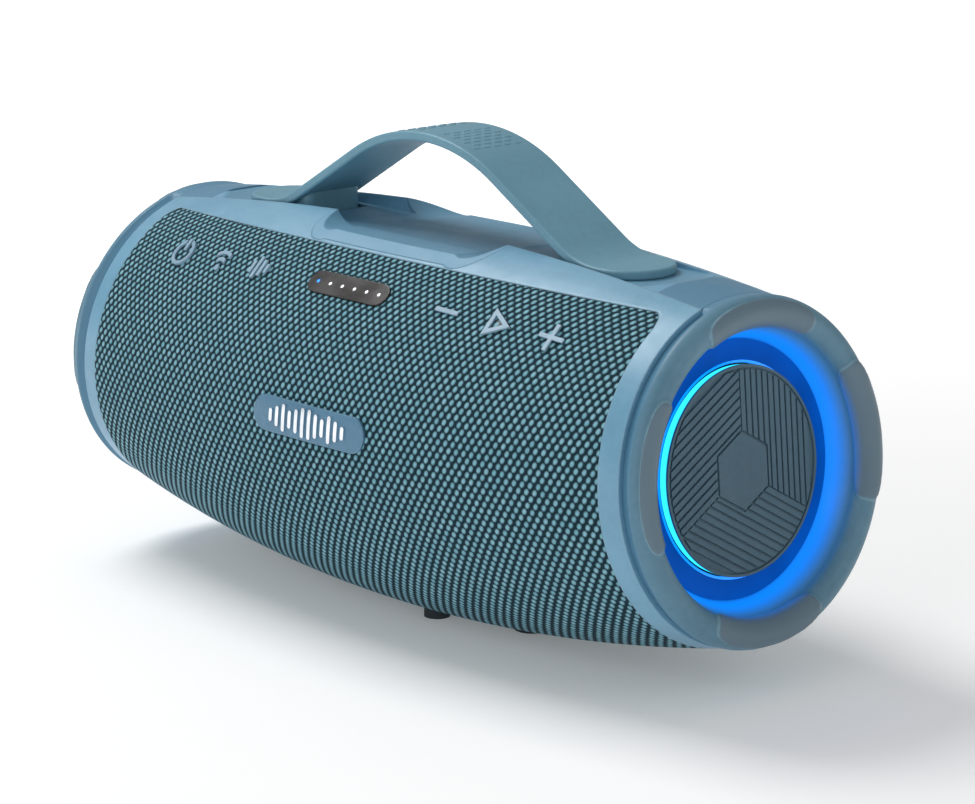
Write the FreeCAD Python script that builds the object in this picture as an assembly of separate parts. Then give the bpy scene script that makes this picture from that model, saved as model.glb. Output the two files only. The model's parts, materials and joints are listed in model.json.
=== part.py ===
# Party speaker: a bulged barrel on a gently curved centreline, with a moulded strap handle.
# Millimetres. +X is the long axis towards the lit end, -Y is the front, +Z is up.
# Everything is modelled about the barrel's axis level and lifted onto its feet at export.
import FreeCAD, Part
import math
import os

V = FreeCAD.Vector

# Driving dimensions
AXIS_Z = 74.6          # height of the axis level above the surface it stands on
R_MID = 68.1           # outer radius at the middle
R_DROP = 14.45         # how much the radius would fall by the half length
HALF = 150.0           # half length that the curves are drawn over
SAG = 4.9              # how far the middle of the centreline hangs below its ends
LEAN = 0.10            # lean of the end planes, as a slope at the half length
S_END = 136.0          # station where the housing ends and the bumper starts
SHELL_T = 3.0          # housing wall
CLOTH_T = 1.2          # cloth thickness
GRILLE_T = 2.0         # grille wall behind the cloth
WINDOW_S = 128.0       # half length of the cloth window
WINDOW_TOP = 53.2      # height of the cloth's upper edge above the axis, at the middle
WINDOW_TOP_END = 51.0  # the same near the ends
CHANNEL_W = 16.2       # half width of the strap channel
FLOOR_Z = 55.2         # channel floor above the axis
SCOOP_Z = 55.4         # floor of the finger scoop above the axis, at its middle
SCOOP_TILT = 2.7       # fall of the scoop towards the rear, degrees
SADDLE_T = 3.0         # saddle floor thickness
STRAP_W = 14.8         # half width of the strap
STRAP_T = 3.2          # strap thickness
STRAP_TOP = 91.7       # top of the arch above the axis
STRAP_R = 70.0         # radius of the arch
STRAP_X = -1.5         # middle of the arch
RAMP_X = 102.0         # where the channel floor starts to climb, from the arch's middle
RAMP_RISE = 3.6        # its climb over the next 25 mm
STRAP_TIP = 99.5       # half length over the rounded tongues
ARCH_A = 31.0          # angle where the arch turns into its straight legs, degrees
NECK_IN = 62.0         # inner face of a neck from the arch's middle
NECK_OUT = 76.0        # outer face of a neck
NECK_W = 12.0          # half width of a neck
DISC_R = 33.8          # radiator face
DISC_RIM = 0.9         # width of its plain rim
GUIDE_R = 34.1         # inner radius of the light guide
GUIDE_W = 0.8          # its width
DISC_S = 134.8         # station of the radiator face, over its ribs
BOSS_R = 12.5          # corner radius of the plain hexagon at its middle
RIB_H = 0.7            # height of the face's ribs
RIB_W = 1.75           # width of a rib
RIB_PITCH = 2.55       # rib to rib
RECESS_R = 41.6        # radius of the recess floor
BUTTON_PHI = 45.3      # angle of the button row above the horizontal
BUTTON_S = (-95.8, -71.6, -49.1, 49.1, 71.6, 95.8)
BUTTON_NAMES = ("power", "wireless", "equalizer", "volume_down", "play", "volume_up")
BUTTON_R = 6.5         # button base
BUTTON_GAP = 0.3       # running gap round a button
ICON_H = 0.9           # how far an icon stands above the cloth
BOARD_D = 47.0         # distance of the button board from the axis
DRIVER_X = 60.0        # driver centres, either side of the middle
DRIVER_Z = -6.0        # their height from the axis level
FLANGE_R = 34.6        # driver flange
SCREW_R = 32.8         # radius of the driver screws' circle
BAFFLE_Y = -46.0       # back face of the baffle
BAY = (-24.0, 24.0, -13.0, 8.0)  # port bay: x from, x to, z from, z to
BADGE = (2.4, 1.4)     # middle of the badge: x, z
BADGE_HALF = 21.8      # from its middle to the centre of a round end
BADGE_R = 6.0          # radius of its ends
TRAY_Y = 54.0          # back of the port bay's tray
TRAY_T = 1.5           # the tray's wall thickness


def radius(s):
    return R_MID - R_DROP * (s / HALF) ** 2


def centre_z(s):
    return -SAG * (1.0 - (s / HALF) ** 2)


def lean(s):
    return math.degrees(math.atan(LEAN * s / HALF))


def station(s):
    """Frame of the leaning section at station s."""
    return FreeCAD.Placement(V(s, 0, centre_z(s)), FreeCAD.Rotation(V(0, 1, 0), -lean(s)))


def body(inset, s0=-S_END, s1=S_END, count=9):
    """Solid barrel, inset from the outer surface."""
    wires = []
    for i in range(count):
        s = s0 + (s1 - s0) * i / (count - 1)
        wire = Part.Wire([Part.makeCircle(radius(s) - inset, V(0, 0, 0), V(1, 0, 0))])
        wire.Placement = station(s)
        wires.append(wire)
    return Part.makeLoft(wires, True, False)


def box(x0, x1, y0, y1, z0, z1):
    return Part.makeBox(x1 - x0, y1 - y0, z1 - z0, V(x0, y0, z0))


def prism_y(points, y0, y1):
    """Closed outline in X and Z, extruded along Y."""
    wire = Part.makePolygon([V(x, y0, z) for x, z in points + points[:1]])
    return Part.Face(wire).extrude(V(0, y1 - y0, 0))


def rod_x(x0, x1, y, z, r):
    return Part.makeCylinder(r, x1 - x0, V(x0, y, z), V(1, 0, 0))


def rod_y(x, y0, y1, z, r):
    return Part.makeCylinder(r, y1 - y0, V(x, y0, z), V(0, 1, 0))


def mirror_x(shape):
    return shape.mirror(V(0, 0, 0), V(1, 0, 0))


def group(shapes):
    return Part.makeCompound(shapes)


def end_frame(shape):
    """Moves a shape drawn about the origin, with +X out of the right end, onto the right end."""
    shape.Placement = station(S_END).multiply(shape.Placement)
    return shape


def revolve_x(points, arcs=None):
    """Closed outline of (along X, radius) points, turned about X; arcs gives some sides a middle point."""
    edges = []
    n = len(points)
    for i in range(n):
        a = V(points[i][0], 0, points[i][1])
        b = V(points[(i + 1) % n][0], 0, points[(i + 1) % n][1])
        if arcs and i in arcs:
            m = arcs[i]
            edges.append(Part.Arc(a, V(m[0], 0, m[1]), b).toShape())
        else:
            edges.append(Part.LineSegment(a, b).toShape())
    return Part.Face(Part.Wire(edges)).revolve(V(0, 0, 0), V(1, 0, 0), 360)


def button_frame(s, phi):
    """Frame on the outer surface: Z points out, X runs along the barrel."""
    rise = V(0, -math.cos(math.radians(phi)), math.sin(math.radians(phi)))
    tilt = math.degrees(math.atan(2.0 * R_DROP * s / HALF ** 2))
    turn = FreeCAD.Rotation(V(1, 0, 0), 90.0 - phi)
    spot = station(s).multVec(rise * radius(s))
    return FreeCAD.Placement(spot, turn.multiply(FreeCAD.Rotation(V(0, 1, 0), tilt)))


def barrel_frame(s, phi):
    """As button_frame, but the out direction stays square to the long axis."""
    spot = station(s).multVec(V(0, -math.cos(math.radians(phi)), math.sin(math.radians(phi))) * radius(s))
    return FreeCAD.Placement(spot, FreeCAD.Rotation(V(1, 0, 0), 90.0 - phi))


def window(inset=0.0):
    """Prism along Y over the cloth's field: leaning ends, a slightly crowned top edge, round corners."""
    top_s = WINDOW_S - inset - LEAN * 50.0 * WINDOW_S / HALF
    low_s = WINDOW_S - inset + LEAN * 90.0 * WINDOW_S / HALF
    top = WINDOW_TOP_END - inset
    crown = Part.Arc(V(-top_s, 0, top), V(0, 0, WINDOW_TOP - inset), V(top_s, 0, top)).toShape()
    right = Part.LineSegment(V(top_s, 0, top), V(low_s, 0, -90)).toShape()
    low = Part.LineSegment(V(low_s, 0, -90), V(-low_s, 0, -90)).toShape()
    left = Part.LineSegment(V(-low_s, 0, -90), V(-top_s, 0, top)).toShape()
    solid = Part.Face(Part.Wire([crown, right, low, left])).extrude(V(0, 180, 0))
    solid.translate(V(0, -90, 0))
    corners = [e for e in solid.Edges
               if abs(e.BoundBox.YLength - 180) < 0.01 and e.BoundBox.ZMin > 0]
    return solid.makeFillet(5.5, corners)


def cloth_field():
    """The space that the cloth and the grille behind it take up."""
    return body(0).cut(body(CLOTH_T + GRILLE_T + 0.1)).common(window())


def channel(drop):
    """Strap channel above its floor, with ramps out to the surface at both ends."""
    z = FLOOR_Z - drop
    far = RAMP_X + 25.0
    points = [(-far, z + RAMP_RISE), (-RAMP_X, z), (RAMP_X, z), (far, z + RAMP_RISE), (far, 90), (-far, 90)]
    return prism_y([(x + STRAP_X, h) for x, h in points], -CHANNEL_W, CHANNEL_W)


def scoop(drop):
    """Finger scoop across the top: a flat-bottomed dish that falls towards the rear."""
    z = -drop
    flat = 30.0
    wide = 44.0
    edges = [Part.Arc(V(-wide, 0, z + 6.5), V(-wide + 3.0, 0, z + 2.2), V(-flat, 0, z)).toShape(),
             Part.LineSegment(V(-flat, 0, z), V(flat, 0, z)).toShape(),
             Part.Arc(V(flat, 0, z), V(wide - 3.0, 0, z + 2.2), V(wide, 0, z + 6.5)).toShape(),
             Part.makePolygon([V(wide, 0, z + 6.5), V(wide, 0, 40), V(-wide, 0, 40), V(-wide, 0, z + 6.5)])]
    wire = Part.Wire(Part.__sortEdges__([e for shape in edges for e in shape.Edges]))
    solid = Part.Face(wire).extrude(V(0, 120, 0))
    solid.translate(V(0, -60, 0))
    solid.rotate(V(0, 0, 0), V(1, 0, 0), -SCOOP_TILT)
    solid.translate(V(0, 0, SCOOP_Z))
    return solid


def neck_slots(grow):
    """The two wells that the strap's necks drop into."""
    slots = []
    for side in (-1, 1):
        inner = STRAP_X + side * (NECK_IN - grow)
        outer = STRAP_X + side * (NECK_OUT + grow)
        slots.append(box(min(inner, outer), max(inner, outer), -NECK_W - grow, NECK_W + grow, 30, 62))
    return slots


def bay(grow=0.0, y0=50.0):
    return box(BAY[0] - grow, BAY[1] + grow, y0, 90, BAY[2] - grow, BAY[3] + grow)


def housing():
    tube = body(0).cut(body(SHELL_T))
    walls = box(-112, 112, -CHANNEL_W - 2.6, CHANNEL_W + 2.6, 50, 80)
    walls = walls.common(body(0.4)).cut(box(-118, 118, -CHANNEL_W, CHANNEL_W, 40, 80)).cut(cloth_field())
    tube = tube.cut(window()).fuse(walls)
    tube = tube.cut(channel(SADDLE_T)).cut(scoop(SADDLE_T))
    return tube.cut(box(-140, 140, -CHANNEL_W, CHANNEL_W, 45, 80)).removeSplitter()


def saddle():
    whole = channel(SADDLE_T).fuse(scoop(SADDLE_T)).common(body(0))
    whole = whole.cut(channel(0)).cut(scoop(0))
    whole = whole.common(box(-112, 112, -60, 60, 40, 80)).cut(cloth_field())
    for slot in neck_slots(2.0):
        whole = whole.cut(slot)
    return whole.removeSplitter()


def cloth():
    skin = body(0).cut(body(CLOTH_T)).common(window(0.1)).cut(bay(0.2))
    for s in BUTTON_S:
        skin = skin.cut(icon(s, 0.25, -4.0, 4.0))
    skin = skin.cut(pill(0.15, -6.0, 4.0))
    return skin


def grille():
    shell = body(CLOTH_T).cut(body(CLOTH_T + GRILLE_T)).common(window(0.1)).cut(bay(0.2))
    for s in BUTTON_S:
        hole = Part.makeCylinder(BUTTON_R + BUTTON_GAP, 12, V(0, 0, -8))
        hole.Placement = button_frame(s, BUTTON_PHI)
        shell = shell.cut(hole)
    shell = shell.cut(pill(0.15, -6.0, 4.0))
    slots = []
    for side in (-1, 1):
        for row in range(-3, 4):
            half = 24.0 - 2.2 * abs(row)
            x = side * DRIVER_X
            slots.append(box(x - half, x + half, -90, -20, row * 7.0 - 1.6, row * 7.0 + 1.6))
    return shell.cut(group(slots))


# Buttons and their icons

def bar(x0, x1, y0, y1, lo, hi):
    return Part.makeBox(x1 - x0, y1 - y0, hi - lo, V(x0, y0, lo))


def tube_z(r_out, r_in, lo, hi):
    ring = Part.makeCylinder(r_out, hi - lo, V(0, 0, lo))
    return ring.cut(Part.makeCylinder(r_in, hi - lo, V(0, 0, lo)))


def icon_power(g, lo, hi):
    ring = tube_z(5.4 + g, 4.0 - g, lo, hi).cut(bar(-1.7 + g, 1.7 - g, 2, 7, lo, hi))
    return [ring, bar(-0.75 - g, 0.75 + g, 0.8 - g, 5.6 + g, lo, hi)]


def icon_wireless(g, lo, hi):
    pieces = [Part.makeCylinder(1.1 + g, hi - lo, V(0, -3.4, lo))]
    for r in (3.6, 6.4):
        arc = tube_z(r + 0.7 + g, r - 0.7 - g, lo, hi)
        half = r * 0.62 + g
        arc = arc.common(bar(-half, half, 0, 9, lo, hi))
        arc.translate(V(0, -3.4, 0))
        pieces.append(arc)
    return pieces


def icon_equalizer(g, lo, hi):
    heights = (2.4, 4.4, 3.2, 1.8)
    return [bar(-4.4 + 2.6 * i - g, -3.0 + 2.6 * i + g, -h - g, h + g, lo, hi)
            for i, h in enumerate(heights)]


def icon_minus(g, lo, hi):
    return [bar(-5.0 - g, 5.0 + g, -0.75 - g, 0.75 + g, lo, hi)]


def icon_plus(g, lo, hi):
    return icon_minus(g, lo, hi) + [bar(-0.75 - g, 0.75 + g, -5.0 - g, 5.0 + g, lo, hi)]


def triangle(r, lo, hi):
    points = [V(r * math.cos(math.radians(a)), r * math.sin(math.radians(a)), lo) for a in (0, 120, 240, 0)]
    return Part.Face(Part.makePolygon(points)).extrude(V(0, 0, hi - lo))


def icon_play(g, lo, hi):
    """Outline of a triangle; its field lies level with the cloth."""
    outer = triangle(6.1 + 2 * g, lo, hi)
    return [outer] if g else [outer.cut(triangle(3.1, 0.0, hi + 1.0))]


ICONS = (icon_power, icon_wireless, icon_equalizer, icon_minus, icon_play, icon_plus)


def icon(s, grow, lo, hi):
    maker = ICONS[BUTTON_S.index(s)]
    pieces = maker(grow, lo, hi)
    whole = pieces[0] if len(pieces) == 1 else pieces[0].multiFuse(pieces[1:])
    whole.Placement = button_frame(s, BUTTON_PHI)
    return whole


def button(s):
    """Round base under the cloth, raised icon through it, and a plunger down to the switch."""
    base_top = -CLOTH_T - 0.7
    base = Part.makeCylinder(BUTTON_R, 1.6, V(0, 0, base_top - 1.6))
    base.Placement = button_frame(s, BUTTON_PHI)
    raised = icon(s, 0.0, base_top - 0.4, ICON_H)
    board_gap = radius(s) - BOARD_D - 4.6
    stem = Part.makeCylinder(1.6, board_gap - 2.5, V(0, 0, -board_gap))
    stem.Placement = barrel_frame(s, BUTTON_PHI)
    return base.fuse(raised).fuse(stem).removeSplitter()


def pill(grow, lo, hi):
    """Indicator window: a long round-ended bar over the cloth."""
    half = 15.2
    r = 4.3 + grow
    solid = bar(-half, half, -r, r, lo, hi)
    ends = [Part.makeCylinder(r, hi - lo, V(x, 0, lo)) for x in (-half, half)]
    solid = solid.multiFuse(ends).removeSplitter()
    solid.Placement = barrel_frame(0, BUTTON_PHI)
    return solid


def indicator_window():
    plate = pill(0.0, -3.4, 0.5)
    return plate.cut(led_holes(0.7))


def led_holes(r, lo=-8.0, hi=4.0):
    holes = []
    for i in range(6):
        hole = Part.makeCylinder(r, hi - lo, V(-15.3 + 6.12 * i, 0, lo))
        hole.Placement = barrel_frame(0, BUTTON_PHI)
        holes.append(hole)
    return group(holes)


def led_pins(first, last):
    pins = []
    for i in range(first, last):
        pin = Part.makeCylinder(0.66, 3.4, V(-15.3 + 6.12 * i, 0, -3.0))
        pin.Placement = barrel_frame(0, BUTTON_PHI)
        pins.append(pin)
    return group(pins)


def on_board(shape):
    """Places a shape drawn with Z out of the board's face onto the button board."""
    up = V(0, -math.cos(math.radians(BUTTON_PHI)), math.sin(math.radians(BUTTON_PHI)))
    where = up * BOARD_D + V(0, 0, centre_z(0))
    board = FreeCAD.Placement(where, FreeCAD.Rotation(V(1, 0, 0), 90.0 - BUTTON_PHI))
    shape.Placement = board.multiply(shape.Placement)
    return shape


def button_board():
    return on_board(bar(-101, 101, -6.5, 6.5, -1.6, 0.0))


def switches():
    blocks = []
    for s in BUTTON_S:
        spot = on_board(Part.makeBox(1, 1, 1)).Placement.inverse().multVec(
            barrel_frame(s, BUTTON_PHI).multVec(V(0, 0, 0)))
        block = bar(-3, 3, -3, 3, 0, 2.2)
        block.translate(V(spot.x, spot.y, 0))
        blocks.append(on_board(block))
    return group(blocks)


def cover_strip():
    """Carrier between the board and the grille that holds the indicator window."""
    return on_board(bar(-22, 22, -5.5, 5.5, 0.2, radius(0) - BOARD_D - 4.3))


# Handle

def strap_outline():
    """Side outline of one half of the ribbon, top edge then bottom edge, as arcs and lines."""
    a = math.radians(ARCH_A)
    top_c = V(0, 0, STRAP_TOP - STRAP_R)
    leg = V(math.cos(a), 0, -math.sin(a))
    start = top_c + V(math.sin(a), 0, math.cos(a)) * STRAP_R
    tail_z = FLOOR_Z + STRAP_T
    reach = (start.z - tail_z) / math.sin(a)
    corner = start + leg * reach
    bend = 30.0
    back = bend * math.tan(a / 2)
    p1 = corner - leg * back
    p2 = corner + V(back, 0, 0)
    bend_c = V(p2.x, 0, p2.z + bend)
    return a, top_c, start, p1, p2, bend, bend_c, tail_z


def arc(c, r, a0, a1):
    """Arc in the XZ plane about c; angles from +Z towards +X, degrees."""
    points = []
    for k in (a0, (a0 + a1) / 2.0, a1):
        points.append(c + V(r * math.sin(math.radians(k)), 0, r * math.cos(math.radians(k))))
    return Part.Arc(*points).toShape()


def line(a, b):
    return Part.LineSegment(a, b).toShape()


def strap_half():
    a, top_c, start, p1, p2, bend, bend_c, tail_z = strap_outline()
    n = V(math.sin(a), 0, math.cos(a)) * STRAP_T
    tip = V(STRAP_TIP + 2, 0, tail_z)
    down = V(0, 0, STRAP_T)
    edges = [arc(top_c, STRAP_R, 0, ARCH_A), line(start, p1), arc(bend_c, bend, 180 + ARCH_A, 180),
             line(p2, tip), line(tip, tip - down), line(tip - down, p2 - down),
             arc(bend_c, bend + STRAP_T, 180, 180 + ARCH_A),
             line(p1 - n, start - n), arc(top_c, STRAP_R - STRAP_T, ARCH_A, 0),
             line(top_c + V(0, 0, STRAP_R - STRAP_T), top_c + V(0, 0, STRAP_R))]
    face = Part.Face(Part.Wire(Part.__sortEdges__(edges)))
    solid = face.extrude(V(0, 2 * STRAP_W, 0))
    solid.translate(V(0, -STRAP_W, 0))
    return solid


def strap_plan():
    """Plan outline with rounded tongues, as a tall prism."""
    x = STRAP_TIP - 12.0
    w = STRAP_W + 0.01
    right = Part.Arc(V(x, -w, 0), V(STRAP_TIP, 0, 0), V(x, w, 0)).toShape()
    left = Part.Arc(V(-x, w, 0), V(-STRAP_TIP, 0, 0), V(-x, -w, 0)).toShape()
    edges = [line(V(-x, -w, 0), V(x, -w, 0)), right, line(V(x, w, 0), V(-x, w, 0)), left]
    return Part.Face(Part.Wire(edges)).extrude(V(0, 0, 120))


def neck_leg(side):
    inner = side * NECK_IN
    outer = side * NECK_OUT
    leg = box(min(inner, outer), max(inner, outer), -NECK_W, NECK_W, 42, 66)
    vertical = [e for e in leg.Edges if e.BoundBox.ZLength > 20]
    return leg.makeFillet(3.0, vertical)


def strap():
    half = strap_half()
    ribbon = half.fuse(mirror_x(half)).removeSplitter().common(strap_plan())
    ribbon = ribbon.makeFillet(0.9, [e for e in ribbon.Edges if long_edge(e)])
    under = underside()
    for side in (-1, 1):
        ribbon = ribbon.fuse(neck_leg(side).common(under))
    ribbon = ribbon.removeSplitter()
    ribbon.translate(V(STRAP_X, 0, 0))
    for side in (-1, 1):
        ribbon = ribbon.cut(rod_y(STRAP_X + side * 69.0, -20, 20, 46.0, 1.55))
    return ribbon


def underside():
    """Everything below the middle of the ribbon's thickness."""
    a, top_c, start, p1, p2, bend, bend_c, tail_z = strap_outline()
    n = V(math.sin(a), 0, math.cos(a)) * (STRAP_T / 2)
    points = [start - n, p1 - n, p2 - V(0, 0, STRAP_T / 2), V(90, 0, p2.z - STRAP_T / 2), V(90, 0, 30),
              V(start.x, 0, 30)]
    half = prism_y([(p.x, p.z) for p in points], -20, 20)
    return half.fuse(mirror_x(half))


def long_edge(edge):
    """Edges that run along the ribbon's sides and round its tongues."""
    ends = [v.Point for v in edge.Vertexes]
    if edge.Length < 2.0 or len(ends) < 2:
        return False
    across = abs(ends[0].y - ends[-1].y) > 2 * STRAP_W - 0.1
    return not across or abs(ends[0].x) > STRAP_TIP - 14


def strap_pin(side):
    return rod_y(STRAP_X + side * 69.0, -17, 17, 46.0, 1.5)


def anchor(side):
    """Block inside the housing that holds a neck's pin at both ends."""
    x = STRAP_X + side * 69.0
    block = box(x - 9, x + 9, -18, 18, 40, 50)
    block = block.cut(box(x - 7.6, x + 7.6, -12.4, 12.4, 38, 60))
    return block.cut(rod_y(x, -17, 17, 46.0, 1.55))


# Ends

def bumper_ring():
    points = [(-6, RECESS_R), (3.2, 46.4), (4.2, 56.28), (1.6, 54.7), (0.1, 54.7), (0.1, 53.0), (-6, 53.0)]
    ring = revolve_x(points, {1: (8.7, 51.35), 2: (2.5, 55.1)})
    return ring


def bumper_pads():
    """Four raised pads on the crest, a quarter turn apart."""
    pads = []
    for k in range(4):
        pad = Part.makeTorus(51.35, 5.35, V(0, 0, 0), V(0, 0, 1), 0, 360, 46)
        pad.rotate(V(0, 0, 0), V(0, 0, 1), 90 * k - 23)
        pad.rotate(V(0, 0, 0), V(0, 1, 0), 90)
        pad.translate(V(3.75, 0, 0))
        pads.append(pad.cut(revolve_x([(-5, 40), (-5, 60), (1.0, 60), (1.0, 40)])))
    return pads


def bumper_right():
    ring = bumper_ring()
    for pad in bumper_pads():
        ring = ring.fuse(pad)
    hollow = revolve_x([(-6.5, 0), (-6.5, RECESS_R), (-6, RECESS_R), (3.2, 46.4), (9.5, 47.5), (9.5, 0)])
    ring = end_frame(ring.cut(hollow))
    tongue = body(0).cut(body(SHELL_T + 1.5)).common(box(112, 140, -CHANNEL_W, CHANNEL_W, 40, 80))
    return ring.fuse(tongue.cut(channel(0)).cut(cloth_field()))


def end_plate():
    """Floor of the recess, with the radiator's hole and a spigot into the housing."""
    hole = GUIDE_R + GUIDE_W
    points = [(-8.5, 37.0), (-8.5, 52.4), (-6.05, 52.4), (-6.05, RECESS_R - 0.1), (-4.5, RECESS_R - 0.1),
              (-4.5, hole), (-6.5, hole), (-6.5, 37.0)]
    return end_frame(revolve_x(points))


def light_guide():
    outer = GUIDE_R + GUIDE_W
    return end_frame(revolve_x([(-7.4, GUIDE_R), (-7.4, outer), (-4.4, outer), (-4.4, GUIDE_R)]))


def led_board():
    points = [(-10.1, 33.3), (-10.1, 44), (-8.5, 44), (-8.5, 33.3)]
    ring = revolve_x(points)
    chips = []
    for k in range(12):
        chip = box(-8.5, -7.7, -1.4, 1.4, 33.8, 36.6)
        chip.rotate(V(0, 0, 0), V(1, 0, 0), 30 * k)
        chips.append(chip)
    return end_frame(group([ring] + chips))


def radiator_frame():
    points = [(-20, 31.5), (-20, 40), (-10.1, 40), (-10.1, 33.4), (-13.5, 33.4), (-13.5, 33.0), (-17, 33.0),
              (-17, 31.5)]
    return end_frame(revolve_x(points))


def radiator_surround():
    """Rubber roll between the frame and the hub's collar."""
    points = [(-15.6, 19.4), (-15.6, 21.5), (-15.6, 30.5), (-15.6, 32.9), (-14.4, 32.9), (-14.4, 30.5),
              (-14.4, 21.5), (-14.4, 19.4)]
    return end_frame(revolve_x(points, {1: (-18.6, 26), 5: (-17.2, 26)}))


def radiator_face():
    """Moving disc with its ribs, its rim wall and the collar behind it."""
    x = DISC_S - S_END - RIB_H
    disc = revolve_x([(x - 3.0, 0), (x - 3.0, DISC_R - 0.4), (x, DISC_R), (x + RIB_H, DISC_R),
                      (x + RIB_H, DISC_R - DISC_RIM), (x, DISC_R - DISC_RIM), (x, 0)])
    collar = Part.makeCylinder(19.0, 15.0, V(x - 18.0, 0, 0), V(1, 0, 0))
    return end_frame(disc.multiFuse([collar] + radiator_ribs()))


def radiator_ribs():
    """Three fields of raised ribs that meet at the centre like the corner of a cube, and a plain hexagon."""
    x = DISC_S - S_END - RIB_H
    centre = hexagon(x, BOSS_R, RIB_H)
    hole = hexagon(x - 0.1, BOSS_R + 0.9, RIB_H + 0.2)
    ribs = [centre]
    for k in range(3):
        field = rib_field(x, k)
        for i in range(12):
            start = 0.5 + RIB_PITCH * i
            rib = box(x, x + RIB_H, start, start + RIB_W, -40, 40)
            rib.rotate(V(0, 0, 0), V(1, 0, 0), 120 * k)
            ribs.extend(rib.common(field).cut(hole).Solids)
    return ribs


def hexagon(x, r, height):
    points = [V(x, r * math.cos(math.radians(a)), r * math.sin(math.radians(a))) for a in range(30, 391, 60)]
    return Part.Face(Part.makePolygon(points)).extrude(V(height, 0, 0))


def rib_field(x, k):
    """A third of the face, from 30 degrees below its first axis up to that axis's square."""
    r = DISC_R - DISC_RIM - 0.6
    points = [V(x, 0.0, 0.0)]
    for i in range(13):
        t = math.radians(-30 + 120 * i / 12)
        points.append(V(x, r * math.cos(t), r * math.sin(t)))
    points.append(points[0])
    face = Part.Face(Part.makePolygon(points)).extrude(V(RIB_H, 0, 0))
    face.rotate(V(0, 0, 0), V(1, 0, 0), 120 * k)
    return face


def radiator_weight():
    x = DISC_S - S_END - RIB_H - 18.0
    return end_frame(Part.makeCylinder(15.0, 5.0, V(x - 5.0, 0, 0), V(1, 0, 0)))


# Inside

def baffle():
    plate = box(-116, 116, BAFFLE_Y - 3, BAFFLE_Y, -44, 30).common(body(CLOTH_T + GRILLE_T + 0.3))
    for side in (-1, 1):
        plate = plate.cut(rod_y(side * DRIVER_X, BAFFLE_Y - 4, BAFFLE_Y + 1, DRIVER_Z, 27.5))
    return plate.cut(screws())


def driver_basket(side):
    x = side * DRIVER_X
    flange = rod_y(x, BAFFLE_Y, BAFFLE_Y + 2.5, DRIVER_Z, FLANGE_R)
    flange = flange.cut(rod_y(x, BAFFLE_Y - 1, BAFFLE_Y + 3, DRIVER_Z, 27.5))
    cup = Part.makeCone(31.0, 17.0, 22, V(x, BAFFLE_Y + 2.5, DRIVER_Z), V(0, 1, 0))
    cup = cup.cut(Part.makeCone(29.0, 15.0, 22, V(x, BAFFLE_Y + 2.5, DRIVER_Z), V(0, 1, 0)))
    for k in range(4):
        gap = box(-6, 6, 6, 18, 8, 40)
        gap.rotate(V(0, 0, 0), V(0, 1, 0), 45 + 90 * k)
        gap.translate(V(x, BAFFLE_Y, DRIVER_Z))
        cup = cup.cut(gap)
    return flange.fuse(cup).cut(screws())


def driver_magnet(side):
    x = side * DRIVER_X
    y = BAFFLE_Y + 24.5
    plate = rod_y(x, y, y + 3, DRIVER_Z, 19).cut(rod_y(x, y, y + 3, DRIVER_Z, 13.4))
    ring = rod_y(x, y + 3, y + 12, DRIVER_Z, 22).cut(rod_y(x, y + 3, y + 12, DRIVER_Z, 14))
    yoke = rod_y(x, y + 12, y + 15, DRIVER_Z, 20).fuse(rod_y(x, y, y + 12, DRIVER_Z, 12.0))
    return plate.fuse(ring).fuse(yoke)


def driver_cone(side):
    x = side * DRIVER_X
    y = BAFFLE_Y + 0.5
    cone = Part.makeCone(22.0, 13.0, 11, V(x, y, DRIVER_Z), V(0, 1, 0))
    cone = cone.cut(Part.makeCone(21.0, 11.6, 11, V(x, y, DRIVER_Z), V(0, 1, 0)))
    coil = rod_y(x, y + 10, y + 27, DRIVER_Z, 12.9).cut(rod_y(x, y + 9, y + 28, DRIVER_Z, 12.4))
    return cone.fuse(coil)


def driver_surround(side):
    """Half roll between the cone and the flange."""
    x = side * DRIVER_X
    outline = [(-0.5, 22.6), (-0.5, 26.4), (0.4, 26.4), (0.4, 22.6)]
    ring = revolve_x([(-a, r) for a, r in outline], {0: (2.6, 24.5), 2: (1.4, 24.5)})
    lip = rod_half(26.3, 27.45, -0.4, 0.5)
    ring = ring.fuse(lip)
    ring.rotate(V(0, 0, 0), V(0, 0, 1), -90)
    ring.translate(V(x, BAFFLE_Y - 0.6, DRIVER_Z))
    return ring


def rod_half(r_in, r_out, x0, x1):
    outer = Part.makeCylinder(r_out, x1 - x0, V(x0, 0, 0), V(1, 0, 0))
    return outer.cut(Part.makeCylinder(r_in, x1 - x0, V(x0, 0, 0), V(1, 0, 0)))


def dust_cap(side):
    x = side * DRIVER_X
    ball = Part.makeSphere(16.0, V(x, BAFFLE_Y + 22.5, DRIVER_Z))
    cap = ball.cut(Part.makeSphere(15.2, V(x, BAFFLE_Y + 22.5, DRIVER_Z)))
    return cap.common(rod_y(x, BAFFLE_Y, BAFFLE_Y + 11.2, DRIVER_Z, 11.5))


def battery_cells():
    cells = []
    for side in (-1, 1):
        for y in (-9.6, 9.6):
            x = side * 34.0
            cells.append(rod_x(x - 32.5, x + 32.5, y, -42, 9.1))
    return group(cells)


def battery_holder():
    rails = []
    for x in (-66.0, -10.0, 10.0, 66.0):
        rib = box(x - 2, x + 2, -22, 22, -75.0, -36).common(body(CLOTH_T + GRILLE_T))
        for y in (-9.6, 9.6):
            rib = rib.cut(rod_x(x - 3, x + 3, y, -42, 9.2))
        rails.append(rib)
    tray = box(-70, 70, -22, 22, -55.5, -53.5)
    uprights = [box(x - 2, x + 2, 20, 34, -54, -24) for x in (-46, 46)]
    return tray.multiFuse(rails + uprights)


def main_board():
    return box(-52, 52, 34, 35.6, -30, 30)


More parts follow.
